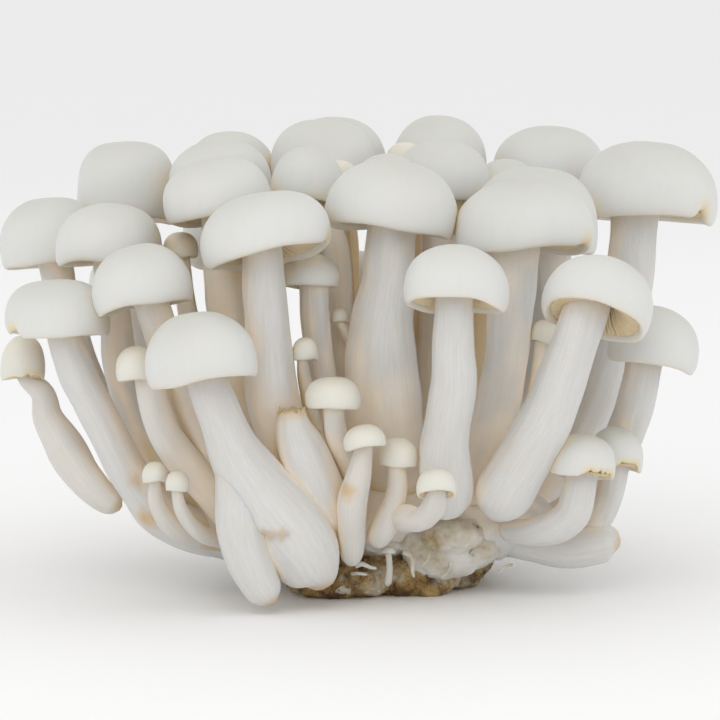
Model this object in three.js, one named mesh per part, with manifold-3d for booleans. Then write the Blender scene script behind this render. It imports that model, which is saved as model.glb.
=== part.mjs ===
// A cluster of white beech mushrooms, cut from its growing block and standing on the cut face.
// Millimetres, +Z up, the origin at the centre of the cut face, -Y towards the showier side.
// Every mushroom grew as one piece, so its cap, gills and stem are one solid. Each is trimmed
// where it presses on the fused stem bases, on the block or on an earlier neighbour.

import * as THREE from "three";
import { mergeVertices } from "three/addons/utils/BufferGeometryUtils.js";
import Module from "manifold-3d";

const wasm = await Module();
wasm.setup();

// Driving dimensions
const TOUCH_GAP = 0.3; // left between two pieces that press on each other
const BIG_CAP = 10; // caps at least this wide are given the finer facets
const CAP_SIDES = 10;
const YOUNG_CAP_SIDES = 7;
const STEM_SIDES = 6;
const YOUNG_STEM_SIDES = 5;
const RINGS_PER_SPAN = 1; // stem rings from one point of its centre line to the next
const STEM_INTO_CAP = 0.45; // how far a stem runs up into its cap, of the cap's rise
const BLOCK_HEIGHT = 8;
const BLOCK_CENTRE = [3, -1];
const BLOCK_RADII = [21, 19]; // of the cut face, along X and Y
const BLOCK_SIDES = 20;
const BLOCK_RIPPLE = 0.06; // how far its side wanders, of its radius
const LUMP_SIDES = 12;
const LUMP_RINGS = 6;

// A cap's half section: distance from its axis and height above its rim, of radius and rise.
// It starts inside the hollow of the gills and ends on the crown.
const CAP_SECTION = [
  [0, 0.3],
  [0.9, 0],
  [1.02, 0.24],
  [0.95, 0.56],
  [0.6, 0.92],
  [0, 1],
];

// How each mushroom grew, in millimetres: name; centre of the cap's rim; cap width; rise of the
// crown over the rim; lean of the cap towards +X and +Y in degrees; then the stem's centre line
// from cap to foot as x, y, z and thickness.
const MUSHROOMS = [
  ["left_1", [-56.5, 8, 56.5], 19.5, 12.5, [-3, 6],
    [[-56, 7, 56, 6], [-53.5, 6, 45, 6], [-48, 3, 31, 6.5], [-37, -1, 16, 7], [-27, -3, 10, 6.5]]],
  ["left_2", [-45.5, -8, 58], 19.5, 11, [0, 6],
    [[-45.5, -8, 58, 6], [-44.5, -8, 48, 6], [-43, -8, 37.5, 6.5], [-37, -8, 23, 6.5], [-27, -8, 11.5, 6]]],
  ["left_3", [-44, 20, 64], 19, 14.5, [2, 6],
    [[-43.5, 19, 64, 7.5], [-41.5, 17, 46, 8.5], [-33, 10, 26.5, 9], [-20, 3, 10.5, 9]]],
  ["left_4", [-38, -24.5, 52], 17.5, 11, [-10, 7],
    [[-37, -23, 52, 6.5], [-34.5, -21, 43.5, 6], [-31.5, -20, 35.5, 6], [-27, -20, 25.5, 6.5], [-21, -20, 15, 7]]],
  ["left_5", [-53.5, -20, 46.5], 18, 10, [0, 5],
    [[-52.5, -20, 46, 6.5], [-50.5, -19, 39.5, 7], [-46, -18, 30.5, 7], [-41.5, -17, 21.5, 7.5],
      [-35.5, -15, 14, 8.5], [-28, -13, 10.5, 8.5], [-22, -11, 10, 7]]],
  ["left_6", [-61, -8, 37.5], 8, 8, [2, 8],
    [[-60.5, -7, 38, 3.5], [-57.5, -8, 35, 4.5], [-56.5, -9, 31, 5.5], [-54.5, -10, 27.5, 6.5],
      [-52.5, -10, 24, 7], [-50, -11, 20.5, 6.5], [-46.5, -11.5, 17, 5.5], [-43.5, -12, 15, 3.8]]],
  ["left_7", [-39.5, -27, 39.5], 7.5, 6, [-4, 6],
    [[-37.5, -26, 39, 5], [-36, -25, 32.5, 5.5], [-33, -24, 26.5, 6], [-28, -23, 20.5, 6], [-22, -22, 13.5, 6]]],
  ["left_8", [-33, -3, 59], 6.5, 4.5, [0, 6],
    [[-33, -3, 59, 3], [-31.5, -3, 47.5, 3.5], [-27, -5, 28, 4.5], [-20.5, -8, 12.5, 4.5]]],
  ["front_1", [-27.5, -38, 40.5], 19.5, 12, [-9, 5],
    [[-27, -37, 40, 7], [-25, -36, 34.5, 7.8], [-22.8, -35, 28.7, 8.8], [-19.3, -34, 22.4, 11.5],
      [-15.2, -33, 17, 13.2], [-11.8, -32, 12.5, 13.6], [-9.8, -31.5, 8.6, 12.4], [-8.3, -31, 5.4, 9.5],
      [-8, -31, 3.5, 6]]],
  ["front_2", [-17, -25, 60.5], 22.5, 11.5, [-12, 13],
    [[-18, -24, 61, 7.5], [-17.5, -24, 53, 8], [-17, -24, 45.5, 8.5], [-16.2, -24, 36.5, 9.5],
      [-14, -22, 28.5, 10], [-12, -19, 20, 10.5], [-9, -15, 12.5, 10]]],
  ["front_3", [15, -40, 53.5], 18, 10.5, [4, 15],
    [[15, -38, 53.5, 7], [15, -36, 46.5, 7.5], [15, -34, 39.5, 8], [14, -32, 32.5, 8.5],
      [13.5, -30, 26, 9.5], [14, -28, 20.5, 9.5], [14.5, -25, 16, 7]]],
  ["front_4", [39, -35, 50.5], 19.5, 11, [16, 26],
    [[37, -34, 51, 8], [35, -33, 44.5, 8.5], [32, -31, 35.5, 9.5], [28.5, -29, 28, 9.9],
      [24.4, -27, 20.5, 10.8], [21.8, -25.5, 15.5, 9.4]]],
  ["centre_1", [-25.5, -9.5, 66.5], 20, 10.5, [-10, 10],
    [[-25.5, -10, 66.5, 7.5], [-24.5, -10, 53.5, 8.5], [-22.5, -10, 37.5, 9], [-18.5, -10, 25, 9],
      [-13.5, -10, 14.5, 9]]],
  ["centre_2", [-10.5, 0, 68.5], 13.5, 10, [3, 8],
    [[-9.5, 0, 68.5, 4.5], [-5.5, -1, 61, 4.5], [-4.5, -3, 47.5, 4.5], [-3.5, -6, 33.5, 5], [-3, -9, 19.5, 5.5]]],
  ["centre_3", [-5, 11.5, 69.5], 8.5, 6, [0, 6],
    [[-5, 11.5, 70, 3.5], [-4, 9, 50, 4], [-2.5, 4, 30.5, 4.5], [-1.5, 0, 15, 4.5]]],
  ["centre_4", [4.5, -15, 64.5], 23, 12.5, [7, 6],
    [[4.5, -15, 64, 8.5], [4, -15, 56, 9.5], [3, -15, 47, 11], [3, -15, 39, 12.5], [3.5, -14, 31, 14],
      [4, -13, 24, 13], [5, -12, 15.5, 10]]],
  ["centre_5", [4, 6, 68.5], 13, 8.5, [0, 6],
    [[4, 6, 68.5, 6], [4.5, 4, 47, 7.5], [5, 0, 27.5, 8], [6, -2, 13, 8]]],
  ["centre_6", [-10.5, -12.5, 54.5], 12.5, 6, [2, 8],
    [[-9, -13, 54.5, 5.5], [-8.5, -12, 45, 5.5], [-7, -12, 34.5, 5.5], [-5, -12, 22, 6]]],
  ["right_1", [52, 21, 64], 26.5, 14.5, [3, 6],
    [[49.5, 20, 63.5, 9], [49, 19, 56.5, 9], [47.5, 17, 46, 9], [43.5, 13, 32.5, 9], [37.5, 9, 21, 8.5],
      [28, 4, 11, 7.5]]],
  ["right_2", [27.5, -16, 61], 24, 12.5, [-1, 7],
    [[26, -16, 60.5, 9], [25.5, -16, 52.5, 8.5], [25, -16, 44.5, 8], [23.5, -16, 35, 8], [21, -15, 25, 8],
      [18, -12, 15, 7.5]]],
  ["right_3", [30.5, 6, 59], 22.5, 15.5, [0, 6],
    [[32.5, 6, 59, 8], [33.5, 5, 47, 7.5], [31.5, 2, 32.5, 7.5], [26.5, -1, 20.5, 7.5], [20, -3, 12.5, 7]]],
  ["right_4", [50.5, -12, 40.5], 16.5, 10.5, [10, 4],
    [[49, -11, 39.5, 6], [47.5, -9, 32, 6.5], [45, -7, 25, 6.5], [40.5, -5, 16.5, 6.5], [31, -4, 9.5, 6.5]]],
  ["young_1", [37.5, -27, 22.5], 12, 7.5, [6, 10],
    [[37.5, -26, 22, 5.5], [37, -25.5, 19, 6], [36, -25, 15.7, 6.3], [33, -24, 13.3, 6], [28.5, -22, 12.3, 5],
      [24, -18, 12, 4]]],
  ["young_2", [44, -16, 22.5], 10, 7.5, [5, 8],
    [[44, -15, 22.5, 5], [43, -14, 17, 5], [40, -12, 11.5, 5.5], [34, -10, 9, 5], [26, -8, 9, 4.5]]],
  ["young_3", [-10.5, -22, 42.5], 4.5, 4, [0, 6],
    [[-11, -22, 42.5, 2], [-10.5, -20, 38, 2.5], [-8.5, -17, 28, 3], [-7, -14, 19, 3]]],
  ["young_4", [-5.5, -31, 35], 9.5, 5.5, [0, 6],
    [[-5.5, -31, 34.5, 4], [-5, -29, 29.5, 4], [-3, -26, 23.5, 4], [-2.5, -22, 16, 4]]],
  ["young_5", [0, -37, 29], 7.5, 4, [-9, 7],
    [[-0.5, -36, 28.5, 3.5], [-1.2, -35, 24, 4.5], [-2.3, -34, 19.5, 5.3], [-2.4, -32, 15.5, 5.2],
      [-2.4, -29, 10.5, 4.6], [-2.4, -27, 7.5, 3.5]]],
  ["young_6", [5.5, -31, 25], 7, 5, [3, 6],
    [[5.5, -31, 25, 3.5], [5.4, -30, 20.5, 3.8], [4.2, -29, 16, 4.8], [2.6, -27.5, 12.8, 4.6],
      [1.8, -26, 10.6, 3.6]]],
  ["young_7", [12, -42, 21.5], 7, 4.5, [0, 22],
    [[12, -41, 22.5, 3.5], [11.5, -39, 19, 4], [9.5, -36, 16.5, 4], [7, -31, 16, 5], [7.5, -22, 14, 4]]],
  ["young_8", [-36.5, -29, 22], 4.5, 3.5, [0, 6],
    [[-36.5, -29, 22, 2], [-36, -28, 17.5, 3], [-32, -24, 12.5, 4], [-24, -16, 9.5, 4]]],
  ["young_9", [-32.5, -33, 21], 4, 3.5, [0, 6],
    [[-32.5, -33, 21, 2], [-31.5, -32, 17, 2.5], [-28, -28, 12.5, 3], [-21, -18, 9.5, 3]]],
  ["young_10", [-4.5, -10, 48], 3.5, 2.5, [0, 6],
    [[-4.5, -10, 48, 2], [-1.5, -9, 41, 2], [-1, -7, 30.5, 2], [-1, -4, 19, 2.5]]],
  ["young_11", [31.5, -16, 45], 5.5, 4, [10, 4],
    [[31, -16, 45, 2.5], [30, -15, 36.5, 3], [27, -13, 25.5, 3.5], [21.5, -10, 15.5, 4]]],
  ["back_1", [-26, 10, 68], 19.5, 11.5, [-4, 6],
    [[-26, 10, 67.5, 7.5], [-24.5, 9, 46.5, 9], [-20.5, 5, 27, 9.5], [-14.5, 0, 12, 9]]],
  ["back_2", [-25, 29, 68.5], 17.5, 11.5, [0, 6],
    [[-25, 28, 68, 7.5], [-22.5, 24, 43.5, 8.5], [-17.5, 14, 24, 9], [-11, 5, 11.5, 9]]],
  ["back_3", [-7.5, 23.5, 70.5], 19, 12, [0, 6],
    [[-7.5, 23, 70, 7.5], [-6.5, 18, 44, 9], [-5, 11, 24.5, 9.5], [-3.5, 5, 12, 9.5]]],
  ["back_4", [-6, 43, 70], 21, 12, [0, 4],
    [[-6, 42, 69.5, 8], [-5, 33, 42.5, 9], [-3, 20, 23, 9.5], [-1.5, 10, 11.5, 9.5]]],
  ["back_5", [7.5, 29, 71.5], 8, 6.5, [0, 6],
    [[7.5, 29, 71, 3.5], [9, 22, 46, 6], [9, 12, 27, 7], [8, 5, 13, 6]]],
  ["back_6", [14, 18, 67.5], 18.5, 11.5, [2, 6],
    [[14, 18, 67, 7.5], [14, 14, 44.5, 8.5], [12.5, 8, 24.5, 9], [10.5, 2, 12.5, 9]]],
  ["back_7", [14, 40, 70.5], 18, 12, [0, 4],
    [[14, 40, 70, 7.5], [14, 32, 42.5, 9], [12, 19, 23.5, 9], [9.5, 9, 11.5, 9]]],
  ["back_8", [26, 27, 67.5], 10.5, 7.5, [0, 6],
    [[26, 27, 67.5, 4], [23.5, 21, 46, 7], [20, 13, 27, 7], [14.5, 4, 12.5, 6]]],
  ["back_9", [35, 42, 68.5], 22, 12, [0, 4],
    [[35, 41, 68, 8], [33.5, 33, 44.5, 9.5], [28, 22, 25, 10], [18.5, 11, 11, 9.5]]],
  ["back_10", [-43, 38, 48], 18, 11, [-6, -8],
    [[-42, 37, 48, 6.5], [-38, 31, 35, 7], [-28, 20, 21, 7], [-16, 9, 11, 7]]],
  ["back_11", [-25, 48, 55], 20, 12, [-3, -10],
    [[-25, 46, 55, 9], [-22, 38, 38, 9.5], [-15, 25, 22, 9.5], [-9, 12, 11, 9]]],
  ["back_12", [-3, 57, 44], 19, 11.5, [0, -12],
    [[-3, 55, 44, 9], [-2.5, 45, 31, 9.5], [-2, 30, 18, 10], [-1, 14, 10, 9.5]]],
  ["back_13", [18, 56, 47], 20, 12, [3, -12],
    [[18, 54, 47, 9], [16, 45, 33, 9.5], [11, 30, 19, 10], [6, 14, 10, 9.5]]],
  ["back_14", [40, 51, 40], 18, 11, [6, -10],
    [[39, 50, 40, 6.5], [35, 42, 29, 7], [26, 28, 18, 7.5], [14, 13, 10, 7]]],
  ["back_15", [45.5, 34, 33], 15, 9.5, [8, -5],
    [[44.5, 33, 33, 6], [41, 29, 25, 6.5], [33, 20, 16, 6.5], [22, 9, 10, 6.5]]],
  ["back_young_1", [-33, 41, 27], 10, 6.5, [-8, -10],
    [[-32, 40, 27, 4], [-28, 34, 19, 4.5], [-21, 24, 13, 5], [-13, 13, 9, 5]]],
  ["back_young_2", [-14, 49, 23], 8.5, 5.5, [-3, -12],
    [[-14, 48, 23, 3.5], [-13, 40, 15, 4], [-10, 28, 11, 4.5], [-7, 15, 9, 4.5]]],
  ["back_young_3", [9, 47, 20], 9.5, 6, [2, -12],
    [[9, 46, 20, 4], [9, 38, 13, 4.5], [8, 27, 10, 5], [6, 15, 8.5, 5]]],
  ["back_young_4", [29, 42, 16], 8, 5, [8, -10],
    [[28, 41, 16, 3.5], [26, 35, 11, 4], [21, 25, 9, 4.5], [14, 14, 8.5, 4.5]]],
  ["pin_1", [4, -23, 8.6], 2.6, 1.3, [0, 6],
    [[4, -23, 8.6, 1.1], [4.2, -23, 5.5, 1.1], [3.8, -22, 2.6, 1.4]]],
];

// Stems with no cap: an old one snapped off, a strip split from the broad front foot, and a foot
// that grew out sideways.
const BARE_STEMS = [
  ["broken_stem", [[-12.8, -31, 35, 5], [-12.5, -31, 31.8, 6.8], [-11.4, -30.5, 28.5, 8.6],
    [-8.8, -29.5, 22.2, 9.4], [-6.6, -27, 15.9, 9], [-5, -23, 10, 8]]],
  ["split_foot", [[-22.3, -35, 25, 7], [-21.8, -35.5, 20, 8], [-21.5, -36, 15.5, 8.2], [-20.3, -36, 10.5, 7.8],
    [-18.5, -36, 6.2, 7], [-17, -36, 3.6, 5.8], [-15.9, -36, 1.9, 3.4]]],
  ["side_foot", [[20, -9, 10.5, 7], [27, -12, 9.3, 6.8], [34, -13, 8, 7], [39, -13, 8.6, 7.6],
    [43, -13, 9.2, 7], [45.2, -13, 9, 4.6]]],
];

// The fused stem bases: centre and radii of each swelling.
const BASE_LUMPS = [
  [[0, -3, 13], [23, 18, 8.5]],
  [[-19, -8, 11.5], [13, 12, 7]],
  [[20, -6, 11.5], [15, 13, 6.5]],
  [[0, 9, 11.5], [20, 14, 7]],
];

// Colours and finishes: base colour, roughness
const WHITE_FLESH = ["#e9e5db", 0.6];
const YOUNG_FLESH = ["#ece3cf", 0.6];
const BASE_FLESH = ["#e6dfd2", 0.7];
const BLOCK_FIBRE = ["#8d7350", 0.95];

function material([colour, roughness]) {
  return new THREE.MeshStandardMaterial({ color: colour, roughness, metalness: 0 });
}

// A closed three.js geometry as a solid that can be joined and cut
function solidOf(geometry) {
  const bare = geometry.clone();
  bare.deleteAttribute("normal");
  bare.deleteAttribute("uv");
  const merged = mergeVertices(bare, 1e-4);
  const mesh = new wasm.Mesh({
    numProp: 3,
    vertProperties: new Float32Array(merged.attributes.position.array),
    triVerts: new Uint32Array(merged.index.array),
  });
  return new wasm.Manifold(mesh);
}

function geometryOf(solid) {
  const mesh = solid.getMesh();
  const geometry = new THREE.BufferGeometry();
  geometry.setAttribute("position", new THREE.BufferAttribute(new Float32Array(mesh.vertProperties), 3));
  geometry.setIndex(new THREE.BufferAttribute(new Uint32Array(mesh.triVerts), 1));
  return geometry;
}

// The way a cap's crown points
function capAxis([leanX, leanY]) {
  const tilt = (degrees) => Math.tan(THREE.MathUtils.degToRad(degrees));
  return new THREE.Vector3(tilt(leanX), tilt(leanY), 1).normalize();
}

// A cap, grown by an allowance all round
function capSolid([x, y, z], width, rise, lean, allowance) {
  const radius = width / 2 + allowance;
  const height = rise + 2 * allowance;
  const profile = CAP_SECTION.map(([out, up]) => new THREE.Vector2(out * radius, up * height - allowance));
  const sides = width >= BIG_CAP ? CAP_SIDES : YOUNG_CAP_SIDES;
  const geometry = new THREE.LatheGeometry(profile, sides);
  geometry.rotateX(Math.PI / 2); // the lathe turns about +Y
  const turn = new THREE.Quaternion().setFromUnitVectors(new THREE.Vector3(0, 0, 1), capAxis(lean));
  geometry.applyQuaternion(turn);
  geometry.translate(x, y, z);
  return solidOf(geometry);
}

// A closed skin over rings of equal length, with a flat fan at each end
function loft(rings) {
  const sides = rings[0].length;
  const positions = rings.flat().flatMap((point) => point.toArray());
  const triangles = [];
  for (let ring = 0; ring < rings.length - 1; ring += 1) {
    for (let side = 0; side < sides; side += 1) {
      const a = ring * sides + side;
      const b = ring * sides + ((side + 1) % sides);
      triangles.push(a, b, b + sides, a, b + sides, a + sides);
    }
  }
  const last = (rings.length - 1) * sides;
  for (let side = 1; side < sides - 1; side += 1) {
    triangles.push(0, side + 1, side);
    triangles.push(last, last + side, last + side + 1);
  }
  const geometry = new THREE.BufferGeometry();
  geometry.setAttribute("position", new THREE.BufferAttribute(new Float32Array(positions), 3));
  geometry.setIndex(triangles);
  return geometry;
}

// A stem along its centre line, foot first, grown by an allowance all round
function stemSolid(line, sides, allowance) {
  const footFirst = [...line].reverse();
  const curve = new THREE.CatmullRomCurve3(footFirst.map(([x, y, z]) => new THREE.Vector3(x, y, z)));
  const spans = (footFirst.length - 1) * RINGS_PER_SPAN;
  const rings = [];
  for (let step = 0; step <= spans; step += 1) {
    const along = step / spans;
    const centre = curve.getPoint(along);
    const tangent = curve.getTangent(along);
    const turn = new THREE.Quaternion().setFromUnitVectors(new THREE.Vector3(0, 0, 1), tangent);
    const place = along * (footFirst.length - 1);
    const before = Math.min(Math.floor(place), footFirst.length - 2);
    const radius = THREE.MathUtils.lerp(footFirst[before][3], footFirst[before + 1][3], place - before) / 2;
    rings.push(ringAt(centre, turn, radius + allowance, sides));
  }
  return solidOf(loft(rings));
}

function ringAt(centre, turn, radius, sides) {
  const ring = [];
  for (let side = 0; side < sides; side += 1) {
    const angle = (2 * Math.PI * side) / sides;
    const point = new THREE.Vector3(radius * Math.cos(angle), radius * Math.sin(angle), 0);
    ring.push(point.applyQuaternion(turn).add(centre));
  }
  return ring;
}

// One whole mushroom: the stem runs up into the cap
function mushroomSolid([, rim, width, rise, lean, line], allowance) {
  const sides = width >= BIG_CAP ? STEM_SIDES : YOUNG_STEM_SIDES;
  const [x, y, z, thickness] = line[0];
  const root = new THREE.Vector3(x, y, z).addScaledVector(capAxis(lean), rise * STEM_INTO_CAP);
  const whole = [[...root.toArray(), thickness * 0.9], ...line];
  return capSolid(rim, width, rise, lean, allowance).add(stemSolid(whole, sides, allowance));
}

// The growing block left under the cluster: a wavy disc, a little narrower at the top
function blockSolid(allowance) {
  const levels = [
    [-allowance, 1],
    [BLOCK_HEIGHT * 0.5, 1.03],
    [BLOCK_HEIGHT + allowance, 0.8],
  ];
  const rings = levels.map(([height, part]) => {
    const ring = [];
    for (let side = 0; side < BLOCK_SIDES; side += 1) {
      const angle = (2 * Math.PI * side) / BLOCK_SIDES;
      const wander = 1 + BLOCK_RIPPLE * Math.sin(3 * angle + 1) * Math.cos(5 * angle);
      const x = BLOCK_CENTRE[0] + (BLOCK_RADII[0] * part * wander + allowance) * Math.cos(angle);
      const y = BLOCK_CENTRE[1] + (BLOCK_RADII[1] * part * wander + allowance) * Math.sin(angle);
      ring.push(new THREE.Vector3(x, y, height));
    }
    return ring;
  });
  return solidOf(loft(rings));
}

// The fused stem bases: overlapping swellings over the block
function baseSolid(allowance) {
  const swellings = BASE_LUMPS.map(([centre, radii]) => {
    const geometry = new THREE.SphereGeometry(1, LUMP_SIDES, LUMP_RINGS);
    geometry.scale(...radii.map((radius) => radius + allowance));
    geometry.translate(...centre);
    return solidOf(geometry);
  });
  return swellings.reduce((whole, swelling) => whole.add(swelling));
}

// Trimming can leave crumbs: the largest body is the piece itself
function largestBody(solid) {
  const bodies = solid.decompose();
  return bodies.reduce((best, body) => (body.volume() > best.volume() ? body : best));
}

function boxesMeet(a, b) {
  const [boxA, boxB] = [a.boundingBox(), b.boundingBox()];
  return [0, 1, 2].every((axis) => boxA.min[axis] < boxB.max[axis] && boxB.min[axis] < boxA.max[axis]);
}

// Pieces are added one by one, each trimmed to clear what is already there
const group = new THREE.Group();
const keepOut = [];

function addPiece(name, exact, grown, finish) {
  const near = keepOut.filter((other) => boxesMeet(exact, other));
  const trimmed = near.reduce((piece, other) => piece.subtract(other), exact);
  const mesh = new THREE.Mesh(geometryOf(largestBody(trimmed)), material(finish));
  mesh.name = name;
  group.add(mesh);
  keepOut.push(grown);
}

addPiece("growing_block", blockSolid(0), blockSolid(TOUCH_GAP), BLOCK_FIBRE);
addPiece("fused_bases", baseSolid(0), baseSolid(TOUCH_GAP), BASE_FLESH);
for (const row of MUSHROOMS) {
  const finish = row[2] >= BIG_CAP ? WHITE_FLESH : YOUNG_FLESH;
  addPiece(row[0], mushroomSolid(row, 0), mushroomSolid(row, TOUCH_GAP), finish);
}
for (const [name, line] of BARE_STEMS) {
  addPiece(name, stemSolid(line, STEM_SIDES, 0), stemSolid(line, STEM_SIDES, TOUCH_GAP), BASE_FLESH);
}

export default group;
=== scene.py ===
"""A cluster of white beech mushrooms standing on the cut face of its growing block.

Each mushroom is one piece: a domed cap with an incurved margin, thin gills and a fibrous stem.
Lengths in the tables are millimetres; meshes are built in millimetres and scaled once, at the end.
"""
import math

import bmesh
import bpy
import numpy as np
from mathutils import Matrix, Vector, noise
from mathutils.bvhtree import BVHTree


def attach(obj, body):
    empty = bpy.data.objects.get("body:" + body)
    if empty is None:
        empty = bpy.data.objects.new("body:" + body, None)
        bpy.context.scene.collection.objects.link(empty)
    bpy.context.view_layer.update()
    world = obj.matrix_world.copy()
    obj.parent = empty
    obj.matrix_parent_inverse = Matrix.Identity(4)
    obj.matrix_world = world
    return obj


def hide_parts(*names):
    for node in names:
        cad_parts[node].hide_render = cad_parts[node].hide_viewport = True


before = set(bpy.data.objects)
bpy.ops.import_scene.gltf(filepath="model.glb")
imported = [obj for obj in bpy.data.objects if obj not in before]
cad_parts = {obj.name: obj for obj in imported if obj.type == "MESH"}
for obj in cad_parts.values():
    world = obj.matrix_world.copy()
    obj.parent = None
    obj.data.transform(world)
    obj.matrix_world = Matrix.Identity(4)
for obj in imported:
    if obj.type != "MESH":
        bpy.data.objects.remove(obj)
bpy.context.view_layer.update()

MM = 0.001
BIG_CAP = 10

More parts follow.
